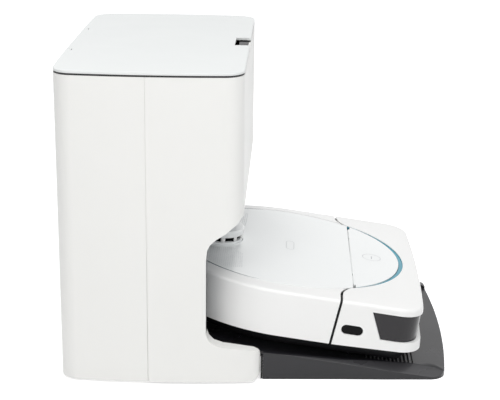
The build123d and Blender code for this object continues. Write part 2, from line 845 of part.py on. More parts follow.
def chassis_form(inset):
    reach = nose_lean - 3.0
    side = prism(outline(chassis_inset + inset, reach), chassis_bend_z, flange_top)
    low = chassis_low + (chassis_floor if inset else 0)
    upper = Pos(0, 0, chassis_bend_z) * outline(chassis_inset + inset, reach)
    return side + loft([upper, Pos(0, 0, low) * outline(chassis_floor_inset + inset, reach)], ruled=True)


def chassis_floor_cuts(body):
    reach = wheel_radius + 3.5
    deep = chassis_low - 14
    for side in (-wheel_y, wheel_y):
        half = wheel_width / 2 + 2
        body = body - block((wheel_x - reach, wheel_x + reach), (side - half, side + half), (deep, chassis_low + 6))
    mouth = brush_half_length + 2
    width = brush_radius + 2
    body = body - block((brush_x - width, brush_x + width), (-mouth, mouth), (deep, brush_z))
    body = body - post(caster_top + 2, caster_x, 0, deep, chassis_low + 24)
    return body - post(side_brush_shaft + 0.6, side_brush_x, side_brush_y, deep, chassis_low + 16)


def wheel_brackets():
    solids = []
    for inner in (wheel_y - 40.5, wheel_y - 12.8):
        bracket = block((arm_pivot_x - 5.5, arm_pivot_x + 5.5), (inner, inner + 3), (chassis_low + 2, arm_pivot_z + 5))
        bore = cross_rod(axle_radius + running_gap, arm_pivot_x, arm_pivot_z, inner - 1, inner + 5)
        solids = solids + both_sides(bracket - bore)
    return solids


def brush_tunnel():
    end = brush_half_length + 2
    inside_radius = brush_radius + brush_clear
    outside_radius = inside_radius + chassis_wall
    outside = cross_rod(outside_radius, brush_x, brush_z, -end - 3, end + 3)
    walls = (brush_x - outside_radius, brush_x + outside_radius)
    outside = outside + block(walls, (-end - 3, end + 3), (chassis_low + 1, brush_z))
    inside = cross_rod(inside_radius, brush_x, brush_z, -end, end)
    inside = inside + block((brush_x - brush_radius - 2, brush_x + brush_radius + 2), (-end, end), (-far, brush_z))
    body = (outside - inside) & block((0, far), (-far, far), (chassis_low + 1, 0))
    return body - cross_rod(brush_journal + running_gap, brush_x, brush_z, -end - 5, end + 5)


def caster_cup():
    radius = caster_top + 2
    body = post(radius + chassis_wall, caster_x, 0, chassis_low + 1, chassis_low + 27)
    body = body - post(radius, caster_x, 0, chassis_low - 4, chassis_low + 24)
    return body - post(caster_stem + running_gap, caster_x, 0, chassis_low + 16, chassis_low + 36)


def seam_backing():
    outer = body_form(skin + seam_gap)
    inset = skin + seam_gap + backing_thickness
    inner = prism(outline(inset), -far, -brow_fall - inset)
    wall = (outer - inner) & (seam_cutter(-bumper_gap - backing_reach) - seam_cutter(backing_reach))
    web = outer - prism(outline(chassis_inset + 1), -far, 0)
    edge = seam_cutter(-bumper_gap - backing_reach) - seam_cutter(backing_thickness - bumper_gap - backing_reach)
    sides = both_sides(block((0, far), (half_width - backing_depth, far), (chassis_bend_z + 3, 0)))
    return [(wall + (web & edge)) & side for side in sides]


def cover_brackets():
    solids = []
    for side in (-cover_bracket_y, cover_bracket_y):
        ys = (side - 2.5, side + 2.5)
        neck = block((cover_axis_x - 1.4, cover_axis_x + 1.5), ys, (flange_top - 1, cover_axis_z))
        boss = cross_rod(1.8, cover_axis_x, cover_axis_z, *ys)
        pin = cross_rod(cover_pin_radius, cover_axis_x, cover_axis_z, side - 6, side + 6)
        solids.append(neck + boss + pin)
    return solids


def chassis():
    body = chassis_form(0) - chassis_form(chassis_wall)
    frame = prism(outline(chassis_inset + 1, nose_lean - 3.0), flange_low, flange_top)
    frame = frame - prism(inner_plan(6), -far, 0)
    deck = prism(inner_plan(4), flange_low, flange_top) & block((cover_seam_x + 8, far), (-far, far), (-far, 0))
    deck = deck + block((cover_seam_x + 0.5, cover_seam_x + 8.5), (-80, 80), (flange_low, flange_top))
    ring = prism(inner_plan(1.5), flange_low, -plate_thickness) - prism(inner_plan(6), -far, 0)
    ring = ring - block((cover_seam_x - 2, cover_seam_x + 9), (-far, far), (cover_axis_z - 9, 0))
    body = body + frame + deck + ring
    body = body - post(button_radius + slip_gap, button_x, 0, -40, 0)
    duct = block((0, 110), (-22, 22), (-62, -40)) - block((-1, 112), (-20, 20), (-60, -42))
    body = joined([body, brush_tunnel(), caster_cup(), duct] + wheel_brackets() + cover_brackets())
    body = joined([body] + seam_backing())
    body = chassis_floor_cuts(body)
    clear = brush_half_length + 2
    body = body - cross_rod(brush_radius + brush_clear, brush_x, brush_z, -clear, clear)
    rear = rear_centre - half_width
    body = body - port_prism(2.6, rear - 21.7, rear + 23.3)
    for slot in contact_slots():
        body = body - slot
    shaft = side_brush_shaft + running_gap
    motor = post(14, side_brush_x, side_brush_y, chassis_low + 2, chassis_low + 32)
    motor = motor - post(shaft, side_brush_x, side_brush_y, chassis_low - 4, chassis_low + 29)
    body = body + motor
    for side in (-sensor_y, sensor_y):
        body = body - post(6, sensor_x, side, -far, chassis_low + 4)
    return body


def top_plate():
    behind = block((-far, cover_seam_x - 0.2), (-far, far), (-10, 10))
    body = prism(inner_plan(slip_gap), -plate_thickness, 0) & behind
    return body - post(turret_radius + slip_gap, turret_x, 0, -10, 10)


def front_cover():
    ahead = block((cover_axis_x, far), (-far, far), (-10, 10))
    sheet = prism(inner_plan(slip_gap), -plate_thickness, 0) & ahead
    bead = cross_rod(-cover_axis_z, cover_axis_x, cover_axis_z, -cover_bead_reach, cover_bead_reach)
    body = sheet + (bead & prism(inner_plan(slip_gap), -10, 0))
    tab_x = cover_centre + cover_radius - 11.4
    body = body + block((tab_x, tab_x + 2), (-8, 8), (-9, -1))
    for side in (-cover_bracket_y, cover_bracket_y):
        pocket = block((cover_seam_x - 3, cover_seam_x + 8), (side - 2.9, side + 2.9), (-8, -0.9))
        bore = cross_rod(cover_pin_radius + running_gap, cover_axis_x, cover_axis_z, side - 6.4, side + 6.4)
        body = body - pocket - bore
    return body


def light_strip():
    disc = Pos(plate_centre, 0) * Circle(plate_front_radius + light_width)
    body = prism(disc - cover_disc(0), flange_top, light_top)
    return body & block((light_rear_x, far), (-far, far), (-20, 10))


def power_button():
    return post(button_radius, button_x, 0, flange_low - 6, flange_top + button_rise)


def turret_ring():
    body = post(turret_radius, turret_x, 0, turret_low, turret_rise)
    body = body - post(turret_radius - 5, turret_x, 0, turret_low + 3, turret_rise + 1)
    body = body + post(spindle_radius, turret_x, 0, turret_low + 2, turret_rise - 1)
    posts = []
    for index in range(6):
        middle = turret_rise + turret_gap_height / 2 - 0.5
        pillar = Pos(turret_radius - 3.5, 0, middle) * Box(4, 6, turret_gap_height + 1)
        posts.append(Pos(turret_x, 0, 0) * Rot(0, 0, 60 * index + 20) * pillar)
    return joined([body] + posts)


def turret_cap():
    low = turret_rise + turret_gap_height
    body = post(turret_radius, turret_x, 0, low, low + turret_cap_height)
    body = fillet(body.edges().filter_by(GeomType.CIRCLE).group_by(Axis.Z)[-1], 2.5)
    return body - post(turret_radius - 6, turret_x, 0, low - 1, low + turret_cap_height - 2.5)


def lidar_head():
    top = turret_rise + 5
    body = post(head_radius, turret_x, 0, turret_low + 9, top)
    body = body - post(spindle_radius + running_gap, turret_x, 0, -far, turret_rise)
    window = block((turret_x + head_radius - 8, turret_x + head_radius + 4), (-14, 14), (top - 4.6, top - 0.8))
    return body - window


def rear_disc(inset):
    return Pos(rear_centre, 0, 0) * Cylinder(half_width - inset, 400)


def dust_bin():
    body = rear_disc(23.5) & block((-far, bin_front_x), (-bin_half_width, bin_half_width), (-68, bin_top))
    hollow = block((-far, bin_front_x - 2), (2 - bin_half_width, bin_half_width - 2), (-66, bin_top - 2))
    body = body - (rear_disc(25.5) & hollow)
    rear = rear_centre - half_width
    spout = port_prism(2, rear + skin + 2.3, rear + 28.3)
    body = body + spout - port_prism(0, rear - 21.7, rear + 48.3)
    return body - block((bin_front_x - 8, bin_front_x + 2), (-18, 18), (-58, -44))


def bin_filter():
    return block((bin_front_x - 58, bin_front_x - 8), (-60, -34), (-46.5, bin_top - 2))


def battery():
    return block((8, 78), (43 - wheel_y, 93 - wheel_y), (inside_floor, -40))


def main_board():
    board = block((4, 104), (-72, 72), (-35, -33.4))
    chips = [block((20 + 26 * i, 34 + 26 * i), (-40 + 24 * i, -22 + 24 * i), (-33.4, -30)) for i in range(3)]
    pillars = [post(3, x, y, inside_floor, -34) for x, y in ((98, 30), (98, -30), (88, 66), (88, -66))]
    return joined([board] + chips + pillars)


def fan_housing():
    x, y = robot_fan_at
    radius = robot_fan_radius + 5
    body = post(radius, x, y, inside_floor, -35) - post(radius - 2, x, y, inside_floor + 3, -37)
    body = body - post(9, x, y, -42, -34)
    body = body - block((x - 26, x), (y - 22, y - 14), (-62, -46))
    return body + post(8, x, y, -71, -58) + post(robot_fan_shaft, x, y, -60, -44)


def robot_fan():
    x, y = robot_fan_at
    disc = post(robot_fan_radius, x, y, -57, -55)
    hub = post(6, x, y, -57, -45)
    blades = []
    for index in range(9):
        blade = Pos(robot_fan_radius - 6.5, 0, -50.5) * Rot(0, 0, 35) * Box(12, 1.2, 9.5)
        blades.append(Pos(x, y, 0) * Rot(0, 0, 40 * index) * blade)
    return joined([disc, hub] + blades) - post(robot_fan_shaft + running_gap, x, y, -60, -40)


def water_tank():
    ys = (bin_half_width + 6, half_width - 44.5)
    body = rear_disc(25.5) & block((-70, 12), ys, (inside_floor, -24))
    hollow = rear_disc(27.5) & block((-70, 10), (ys[0] + 2, ys[1] - 2), (inside_floor + 2, -26))
    return body - hollow - post(6, -10, (ys[0] + ys[1]) / 2 - 2, -30, -20)


def mop_plate():
    reach = half_width - 61.5
    plate = rear_disc(26.5) & block((-far, mop_front_x), (-reach, reach), (mop_top - 2.9, chassis_low - 0.1))
    return plate


def mop_pad():
    reach = half_width - 64.5
    return rear_disc(28.5) & block((-far, mop_front_x - 2), (-reach, reach), (wheel_plane, mop_top - 2.9))


def brush_guard():
    end = brush_half_length + 10
    wide = brush_radius + 9
    frame = block((brush_x - wide, brush_x + wide), (-end, end), (chassis_low - 3, chassis_low - 0.1))
    mouth = brush_radius + 2
    return frame - block((brush_x - mouth, brush_x + mouth), (8 - end, end - 8), (-far, chassis_low + 6))


def robot_contacts():
    pads = []
    for side in (-contact_y, contact_y):
        ys = (side - contact_half_width + 2, side + contact_half_width - 2)
        pads.append(ring_slice(half_width + 0.3, half_width - 3, ys, (contact_low + 2, contact_high - 4)))
    return pads


def sensor_windows():
    return [post(5.6, sensor_x, y, chassis_low + 0.3, chassis_low + 4.2) for y in (-sensor_y, sensor_y)]


def wheel_arm(side):
    box = block((30, arm_pivot_x + 6), (wheel_y - 36, wheel_y - 14), (arm_pivot_z - 12, arm_pivot_z + 10))
    box = box - block((arm_pivot_x - 6, arm_pivot_x + 12), (0, half_width), (-far, arm_pivot_z - 6))
    axle = cross_rod(axle_radius, wheel_x, wheel_plane + wheel_radius, wheel_y - 19, wheel_y + 12)
    pivot = cross_rod(axle_radius, arm_pivot_x, arm_pivot_z, wheel_y - 40, wheel_y - 10.2)
    body = box + axle + pivot
    return body if side > 0 else mirror(body, Plane.XZ)


def wheel_hub(side):
    low = wheel_y - wheel_width / 2
    high = wheel_y + wheel_width / 2
    z = wheel_plane + wheel_radius
    body = cross_rod(hub_radius, wheel_x, z, low, high)
    body = body - cross_rod(hub_radius - 4, wheel_x, z, high - 6, high + 1)
    body = body + cross_rod(7, wheel_x, z, low, high - 1)
    body = body - cross_rod(axle_radius + running_gap, wheel_x, z, low - 5, high + 5)
    return body if side > 0 else mirror(body, Plane.XZ)


def tyre(side):
    low = wheel_y - wheel_width / 2
    high = wheel_y + wheel_width / 2
    z = wheel_plane + wheel_radius
    body = cross_rod(wheel_radius, wheel_x, z, low, high) - cross_rod(hub_radius, wheel_x, z, low - 1, high + 1)
    for index in range(18):
        groove = Pos(wheel_x, wheel_y, z) * Rot(0, 20 * index, 0) * Pos(wheel_radius, 0, 0) * Box(3, 30, 3.4)
        body = body - groove
    return body if side > 0 else mirror(body, Plane.XZ)


def caster_fork():
    high = chassis_low + 23.4
    body = post(caster_top, caster_x, 0, high - 2.9, high) + post(caster_stem, caster_x, 0, high - 1.4, high + 8.6)
    axle_x = caster_x - caster_trail
    axle_z = wheel_plane + caster_radius
    ys = (caster_width / 2 + 0.5, caster_width / 2 + 3.5)
    leg = block((axle_x - 4.5, axle_x + 4.5), ys, (axle_z - 4, high - 1.4))
    body = joined([body] + both_sides(leg))
    return body - cross_rod(caster_pin + running_gap, axle_x, axle_z, -20, 20)


def caster_wheel():
    axle_x = caster_x - caster_trail
    axle_z = wheel_plane + caster_radius
    tread = cross_rod(caster_radius, axle_x, axle_z, -caster_width / 2, caster_width / 2)
    return tread + cross_rod(caster_pin, axle_x, axle_z, -9, 9)


def main_brush():
    core = cross_rod(brush_core, brush_x, brush_z, -brush_half_length, brush_half_length)
    journal = cross_rod(brush_journal, brush_x, brush_z, -brush_half_length - 4.5, brush_half_length + 4.5)
    vanes = []
    for index in range(6):
        reach = brush_radius - brush_core + 2
        vane = Pos(brush_core - 2 + reach / 2, 0, 0) * Box(reach, 2 * brush_half_length, 2.2)
        vanes.append(Pos(brush_x, 0, brush_z) * Rot(0, 60 * index, 0) * vane)
    return joined([core, journal] + vanes)


def side_brush():
    low = chassis_low - 4.6
    hub = post(11, side_brush_x, side_brush_y, low, chassis_low - 0.4)
    shaft = post(side_brush_shaft, side_brush_x, side_brush_y, low + 2.6, chassis_low + 28)
    arms = []
    for index in range(3):
        arm = Pos(side_brush_reach / 2 + 3, 0, low + 0.5) * Box(side_brush_reach - 6, 5, 1.8)
        arms.append(Pos(side_brush_x, side_brush_y, 0) * Rot(0, 0, 120 * index + 15) * arm)
    return joined([hub, shaft] + arms)


station = {
    "rear_shell": rear_shell,
    "front_shell": front_shell,
    "recess_liner": recess_liner,
    "docking_ramp": docking_ramp,
    "station_feet": station_feet,
    "top_deck": top_deck,
    "lid_seal": lid_seal,
    "lid_hinge_pins": lid_hinge_pins,
    "top_lid": top_lid,
    "lid_latch": lid_latch,
    "bag_chamber": bag_chamber,
    "dust_bag": dust_bag,
    "bag_collar": bag_collar,
    "air_duct": air_duct,
    "port_seal": port_seal,
    "station_contacts": station_contacts,
    "signal_window": signal_window,
    "motor_housing": motor_housing,
    "suction_motor": suction_motor,
    "suction_impeller": suction_impeller,
    "exhaust_filter": exhaust_filter,
    "exhaust_grille": exhaust_grille,
    "power_socket": power_socket,
    "control_board": control_board,
    "station_screws": station_screws,
}

robot = {
    "chassis": chassis,
    "body_shell": body_shell,
    "top_plate": top_plate,
    "front_cover": front_cover,
    "light_strip": light_strip,
    "power_button": power_button,
    "bumper": bumper,
    "bumper_window": bumper_window,
    "side_windows": side_windows,
    "turret_ring": turret_ring,
    "turret_cap": turret_cap,
    "lidar_head": lidar_head,
    "dust_bin": dust_bin,
    "bin_filter": bin_filter,
    "battery": battery,
    "main_board": main_board,
    "fan_housing": fan_housing,
    "robot_fan": robot_fan,
    "water_tank": water_tank,
    "mop_plate": mop_plate,
    "mop_pad": mop_pad,
    "brush_guard": brush_guard,
    "robot_contacts": robot_contacts,
    "sensor_windows": sensor_windows,
    "left_wheel_arm": lambda: wheel_arm(1),
    "right_wheel_arm": lambda: wheel_arm(-1),
    "left_wheel_hub": lambda: wheel_hub(1),
    "right_wheel_hub": lambda: wheel_hub(-1),
    "left_tyre": lambda: tyre(1),
    "right_tyre": lambda: tyre(-1),
    "caster_fork": caster_fork,
    "caster_wheel": caster_wheel,
    "main_brush": main_brush,
    "side_brush": side_brush,
}


def save(name, shape, place):
    solids = shape if isinstance(shape, list) else [shape]
    placed = [place * solid for solid in solids]
    whole = placed[0] if len(placed) == 1 else Compound(children=placed)
    whole.label = name
    export_step(whole, "parts/" + name + ".step")
    print(name, len(whole.solids()), round(whole.volume / 1000, 1))


for name, make in station.items():
    save(name, make(), Location())

for name, make in robot.items():
    save(name, make(), docked)
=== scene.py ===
import bpy
import bmesh
import json
import math
from mathutils import Matrix, Vector


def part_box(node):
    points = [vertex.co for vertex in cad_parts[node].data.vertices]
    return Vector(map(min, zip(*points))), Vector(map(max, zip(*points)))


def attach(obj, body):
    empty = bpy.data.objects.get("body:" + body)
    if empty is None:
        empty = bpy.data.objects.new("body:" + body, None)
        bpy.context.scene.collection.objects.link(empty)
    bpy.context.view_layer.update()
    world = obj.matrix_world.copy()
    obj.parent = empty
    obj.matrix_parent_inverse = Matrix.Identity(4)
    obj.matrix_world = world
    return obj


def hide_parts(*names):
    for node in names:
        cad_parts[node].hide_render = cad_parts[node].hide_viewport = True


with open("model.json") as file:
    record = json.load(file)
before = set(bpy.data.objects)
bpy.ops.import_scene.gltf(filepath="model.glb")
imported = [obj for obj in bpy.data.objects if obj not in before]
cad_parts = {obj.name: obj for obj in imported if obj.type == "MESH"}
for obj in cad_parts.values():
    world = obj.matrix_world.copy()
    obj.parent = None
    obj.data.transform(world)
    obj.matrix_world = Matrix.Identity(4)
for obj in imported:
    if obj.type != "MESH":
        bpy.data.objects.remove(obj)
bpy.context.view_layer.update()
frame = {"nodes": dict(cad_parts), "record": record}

nodes = frame["nodes"]
mm = 0.001

# the robot stands nose down on the ramp; its pieces are drawn level, in millimetres, about its top plate
dock = {"x": -23.4, "z": 121.7, "tilt": 7.8}
docked = (Matrix.Scale(mm, 4) @ Matrix.Translation((dock["x"], 0, dock["z"]))
    @ Matrix.Rotation(math.radians(dock["tilt"]), 4, "Y"))
upright = Matrix.Scale(mm, 4)

# what a finish has unless its look says otherwise
usual = {"drift": 6.0, "patch": 14.0, "grain": 900.0, "bump": 0.1, "depth": 0.0002,
    "metal": 0.0, "coat": 0.0, "coatRough": 0.05, "specular": 0.5}


def newGroup(name, inputs, outputs):
    group = bpy.data.node_groups.new(name, "ShaderNodeTree")
    for label, kind, value in inputs:
        socket = group.interface.new_socket(name=label, in_out="INPUT", socket_type=kind)
        socket.default_value = value
    for label, kind in outputs:
        group.interface.new_socket(name=label, in_out="OUTPUT", socket_type=kind)
    enter = group.nodes.new("NodeGroupInput")
    leave = group.nodes.new("NodeGroupOutput")
    coords = group.nodes.new("ShaderNodeTexCoord")
    return group, enter, leave, coords


def buildToneDrift():
    # slow, faint change of colour over a moulding
    drift = {"detail": 3, "rough": 0.55, "band": (0.32, 0.72)}
    group, enter, leave, coords = newGroup("toneDrift", [
        ("Base", "NodeSocketColor", (0.8, 0.8, 0.8, 1)),
        ("Shade", "NodeSocketColor", (0.7, 0.7, 0.7, 1)),
        ("Scale", "NodeSocketFloat", usual["drift"])], [("Color", "NodeSocketColor")])
    noise = group.nodes.new("ShaderNodeTexNoise")
    noise.inputs["Detail"].default_value = drift["detail"]
    noise.inputs["Roughness"].default_value = drift["rough"]
    ramp = group.nodes.new("ShaderNodeValToRGB")
    for element, position in zip(ramp.color_ramp.elements, drift["band"]):
        element.position = position
    mix = group.nodes.new("ShaderNodeMix")
    mix.data_type = "RGBA"
    link = group.links.new
    link(coords.outputs["Object"], noise.inputs["Vector"])
    link(enter.outputs["Scale"], noise.inputs["Scale"])
    link(noise.outputs["Fac"], ramp.inputs["Fac"])
    link(ramp.outputs["Color"], mix.inputs[0])
    link(enter.outputs["Base"], mix.inputs[6])
    link(enter.outputs["Shade"], mix.inputs[7])
    link(mix.outputs[2], leave.inputs["Color"])
    return group


def buildFineGrain():
    # the spark-eroded skin of moulded plastic
    group, enter, leave, coords = newGroup("fineGrain", [
        ("Scale", "NodeSocketFloat", usual["grain"]),
        ("Strength", "NodeSocketFloat", usual["bump"]),
        ("Distance", "NodeSocketFloat", usual["depth"])], [("Normal", "NodeSocketVector")])
    noise = group.nodes.new("ShaderNodeTexNoise")
    noise.inputs["Detail"].default_value = 2
    bump = group.nodes.new("ShaderNodeBump")
    link = group.links.new
    link(coords.outputs["Object"], noise.inputs["Vector"])
    link(enter.outputs["Scale"], noise.inputs["Scale"])
    link(noise.outputs["Fac"], bump.inputs["Height"])
    link(enter.outputs["Strength"], bump.inputs["Strength"])
    link(enter.outputs["Distance"], bump.inputs["Distance"])
    link(bump.outputs["Normal"], leave.inputs["Normal"])
    return group


def buildSheenPatches():
    # handled plastic is a little shinier in places
    patches = {"detail": 4, "band": (0.3, 0.7)}
    group, enter, leave, coords = newGroup("sheenPatches", [
        ("Low", "NodeSocketFloat", 0.3),
        ("High", "NodeSocketFloat", 0.4),
        ("Scale", "NodeSocketFloat", usual["patch"])], [("Roughness", "NodeSocketFloat")])
    noise = group.nodes.new("ShaderNodeTexNoise")
    noise.inputs["Detail"].default_value = patches["detail"]
    spread = group.nodes.new("ShaderNodeMapRange")
    spread.inputs["From Min"].default_value = patches["band"][0]
    spread.inputs["From Max"].default_value = patches["band"][1]
    link = group.links.new
    link(coords.outputs["Object"], noise.inputs["Vector"])
    link(enter.outputs["Scale"], noise.inputs["Scale"])
    link(noise.outputs["Fac"], spread.inputs["Value"])
    link(enter.outputs["Low"], spread.inputs["To Min"])
    link(enter.outputs["High"], spread.inputs["To Max"])
    link(spread.outputs["Result"], leave.inputs["Roughness"])
    return group


toneDrift = buildToneDrift()
fineGrain = buildFineGrain()
sheenPatches = buildSheenPatches()
print("shader groups ready")


def addGroup(tree, group, values):
    node = tree.nodes.new("ShaderNodeGroup")
    node.node_tree = group
    for label, value in values.items():
        node.inputs[label].default_value = value
    return node


def plastic(name, ownLook):
    look = {**usual, **ownLook}
    material = bpy.data.materials.new(name)
    material.use_nodes = True
    tree = material.node_tree
    shader = tree.nodes["Principled BSDF"]
    base, shade = look["base"] + (1,), look["shade"] + (1,)
    low, high = look["rough"]
    tone = addGroup(tree, toneDrift, {"Base": base, "Shade": shade, "Scale": look["drift"]})
    rough = addGroup(tree, sheenPatches, {"Low": low, "High": high, "Scale": look["patch"]})
    grain = addGroup(tree, fineGrain,
        {"Scale": look["grain"], "Strength": look["bump"], "Distance": look["depth"]})
    tree.links.new(tone.outputs["Color"], shader.inputs["Base Color"])
    tree.links.new(rough.outputs["Roughness"], shader.inputs["Roughness"])
    tree.links.new(grain.outputs["Normal"], shader.inputs["Normal"])
    shader.inputs["Metallic"].default_value = look["metal"]
    shader.inputs["Coat Weight"].default_value = look["coat"]
    shader.inputs["Coat Roughness"].default_value = look["coatRough"]
    shader.inputs["Specular IOR Level"].default_value = look["specular"]
    return material


looks = {
    "stationWhite": {"base": (0.845, 0.841, 0.820), "shade": (0.830, 0.827, 0.806),
        "rough": (0.38, 0.48), "drift": 3.0, "bump": 0.06},
    "lidWhite": {"base": (0.735, 0.752, 0.745), "shade": (0.720, 0.738, 0.731),
        "rough": (0.30, 0.40), "drift": 3.0, "bump": 0.05},
    "linerGrey": {"base": (0.16, 0.17, 0.18), "shade": (0.13, 0.14, 0.15),
        "rough": (0.35, 0.45), "bump": 0.06},
    "robotWhite": {"base": (0.895, 0.892, 0.882), "shade": (0.885, 0.882, 0.872),
        "rough": (0.28, 0.36), "drift": 4.0, "bump": 0.02, "coat": 0.05},
    "plateGloss": {"base": (0.895, 0.91, 0.906), "shade": (0.883, 0.899, 0.895),
        "rough": (0.14, 0.20), "drift": 4.0, "bump": 0.012, "coat": 0.5},
    "rampGrey": {"base": (0.013, 0.013, 0.0155), "shade": (0.017, 0.0165, 0.0195),
        "rough": (0.26, 0.32), "drift": 8.0, "bump": 0.12, "coat": 0.05, "grain": 700.0, "specular": 0.36},
    "softRubber": {"base": (0.014, 0.014, 0.015), "shade": (0.020, 0.020, 0.021),
        "rough": (0.60, 0.72), "bump": 0.2},
    "darkPlastic": {"base": (0.030, 0.030, 0.033), "shade": (0.045, 0.045, 0.048),
        "rough": (0.42, 0.52), "bump": 0.15},
    "blackPlastic": {"base": (0.010, 0.010, 0.011), "shade": (0.016, 0.016, 0.018),
        "rough": (0.30, 0.42)},
    "darkWindow": {"base": (0.016, 0.0145, 0.0165), "shade": (0.020, 0.018, 0.0205),
        "rough": (0.16, 0.22), "bump": 0.01, "specular": 0.32},
    "steel": {"base": (0.55, 0.55, 0.56), "shade": (0.45, 0.45, 0.46),
        "rough": (0.22, 0.32), "bump": 0.05, "metal": 1.0},
    "contactMetal": {"base": (0.72, 0.55, 0.28), "shade": (0.62, 0.46, 0.22),
        "rough": (0.20, 0.32), "bump": 0.05, "metal": 1.0},
    "motorMetal": {"base": (0.38, 0.38, 0.40), "shade": (0.30, 0.30, 0.32),
        "rough": (0.30, 0.42), "metal": 1.0},
    "palePlastic": {"base": (0.60, 0.61, 0.62), "shade": (0.54, 0.55, 0.56),
        "rough": (0.36, 0.46)},
    "boardGreen": {"base": (0.015, 0.095, 0.04), "shade": (0.02, 0.12, 0.055),
        "rough": (0.35, 0.5), "drift": 60.0, "bump": 0.2},
    "lightTeal": {"base": (0.045, 0.285, 0.385), "shade": (0.060, 0.33, 0.43),
        "rough": (0.10, 0.16), "drift": 12.0, "bump": 0.01, "coat": 0.12, "specular": 0.3},
    "smokedPlastic": {"base": (0.06, 0.06, 0.065), "shade": (0.08, 0.08, 0.085),
        "rough": (0.10, 0.18), "bump": 0.02},
    "batteryWrap": {"base": (0.02, 0.05, 0.20), "shade": (0.03, 0.07, 0.26),
        "rough": (0.25, 0.35)},
    "tread": {"base": (0.018, 0.018, 0.019), "shade": (0.028, 0.027, 0.026),
        "rough": (0.70, 0.82), "bump": 0.35},
    "brushRubber": {"base": (0.07, 0.08, 0.09), "shade": (0.09, 0.10, 0.11),
        "rough": (0.55, 0.65), "bump": 0.2},
    "filterCloth": {"base": (0.62, 0.60, 0.55), "shade": (0.52, 0.50, 0.46),
        "rough": (0.85, 0.95), "drift": 40.0, "bump": 0.7, "grain": 500.0, "depth": 0.0006},
    "mopCloth": {"base": (0.45, 0.46, 0.48), "shade": (0.33, 0.34, 0.36),
        "rough": (0.88, 0.96), "drift": 90.0, "bump": 0.9, "grain": 380.0, "depth": 0.0010},
    # painted highlight for the ramp's slanting side edges
    "rampHighlight": {"base": (0.042, 0.042, 0.045), "shade": (0.048, 0.047, 0.051),
        "rough": (0.24, 0.30), "drift": 8.0, "coat": 0.05, "grain": 700.0, "specular": 0.36},
    # painted shade for the plate's raised dots
    "dotShadeGrey": {"base": (0.62, 0.64, 0.645), "shade": (0.59, 0.61, 0.62),
        "rough": (0.20, 0.28), "drift": 4.0, "bump": 0.01},
    # the plate's edge gap, partly painted shadow
    "gapShadeTeal": {"base": (0.15, 0.185, 0.20), "shade": (0.18, 0.215, 0.23),
        "rough": (0.35, 0.45), "bump": 0.02, "specular": 0.2},
    "chassisBlack": {"base": (0.006, 0.006, 0.007), "shade": (0.010, 0.010, 0.011),
        "rough": (0.45, 0.55), "specular": 0.2},
    "printGrey": {"base": (0.42, 0.43, 0.44), "shade": (0.48, 0.49, 0.50),
        "rough": (0.3, 0.4), "bump": 0.01},
    "blackGloss": {"base": (0.004, 0.004, 0.0045), "shade": (0.006, 0.006, 0.0065),
        "rough": (0.10, 0.16), "bump": 0.01, "specular": 0.08},
    # painted highlight: the ramp's ribs, paler than the ramp's own dark plastic
    "ribHighlightGrey": {"base": (0.17, 0.17, 0.18), "shade": (0.20, 0.20, 0.21),
        "rough": (0.30, 0.40), "bump": 0.05},
    "bristle": {"base": (0.035, 0.035, 0.038), "shade": (0.060, 0.060, 0.065),
        "rough": (0.45, 0.6)},
    "card": {"base": (0.45, 0.33, 0.20), "shade": (0.38, 0.27, 0.16),
        "rough": (0.80, 0.90), "drift": 50.0, "bump": 0.3},
}
finishes = {name: plastic(name, look) for name, look in looks.items()}

nodeFinish = {
    "rear_shell": "stationWhite", "front_shell": "stationWhite", "recess_liner": "linerGrey",
    "docking_ramp": "rampGrey", "station_feet": "softRubber", "top_deck": "darkPlastic",
    "lid_seal": "softRubber", "lid_hinge_pins": "steel", "top_lid": "lidWhite", "lid_latch": "darkPlastic",
    "bag_chamber": "darkPlastic", "dust_bag": "filterCloth", "bag_collar": "card", "air_duct": "darkPlastic",
    "port_seal": "softRubber", "station_contacts": "contactMetal", "signal_window": "darkWindow",
    "motor_housing": "darkPlastic", "suction_motor": "motorMetal", "suction_impeller": "palePlastic",
    "exhaust_filter": "filterCloth", "exhaust_grille": "stationWhite", "power_socket": "blackPlastic",
    "control_board": "boardGreen", "station_screws": "steel", "chassis": "chassisBlack",
    "body_shell": "robotWhite", "top_plate": "plateGloss", "front_cover": "plateGloss",
    "light_strip": "lightTeal", "power_button": "palePlastic", "bumper": "robotWhite",
    "bumper_window": "darkWindow", "side_windows": "blackGloss", "turret_ring": "blackPlastic",
    "turret_cap": "plateGloss", "lidar_head": "blackPlastic", "dust_bin": "smokedPlastic",
    "bin_filter": "filterCloth", "battery": "batteryWrap", "main_board": "boardGreen",
    "fan_housing": "darkPlastic", "robot_fan": "palePlastic", "water_tank": "smokedPlastic",
    "mop_plate": "palePlastic", "mop_pad": "mopCloth", "brush_guard": "darkPlastic",
    "robot_contacts": "contactMetal", "sensor_windows": "darkWindow", "left_wheel_arm": "blackPlastic",
    "right_wheel_arm": "blackPlastic", "left_wheel_hub": "darkPlastic", "right_wheel_hub": "darkPlastic",
    "left_tyre": "tread", "right_tyre": "tread", "caster_fork": "darkPlastic", "caster_wheel": "darkPlastic",
    "main_brush": "brushRubber", "side_brush": "brushRubber",
}
for nodeName, finishName in nodeFinish.items():
    mesh = nodes[nodeName].data
    mesh.materials.clear()
    mesh.materials.append(finishes[finishName])
print("finishes on", len(nodeFinish), "frame nodes")

view = {"x": 37.3, "y": -1683.7, "z": 709.5, "turn": 1.823, "down": 17.563, "roll": 0.666,
    "lens": 96.21, "sensor": 36.0, "near": 0.05}
camera = bpy.data.objects.new("camera", bpy.data.cameras.new("camera"))
camera.data.lens = view["lens"]
camera.data.sensor_width = view["sensor"]
camera.data.clip_start = view["near"]
camera.matrix_world = (Matrix.Translation((view["x"] * mm, view["y"] * mm, view["z"] * mm))
    @ Matrix.Rotation(math.radians(view["turn"]), 4, "Z")
    @ Matrix.Rotation(math.radians(90 - view["down"]), 4, "X")
    @ Matrix.Rotation(math.radians(view["roll"]), 4, "Z"))
bpy.context.scene.collection.objects.link(camera)
bpy.context.scene.camera = camera


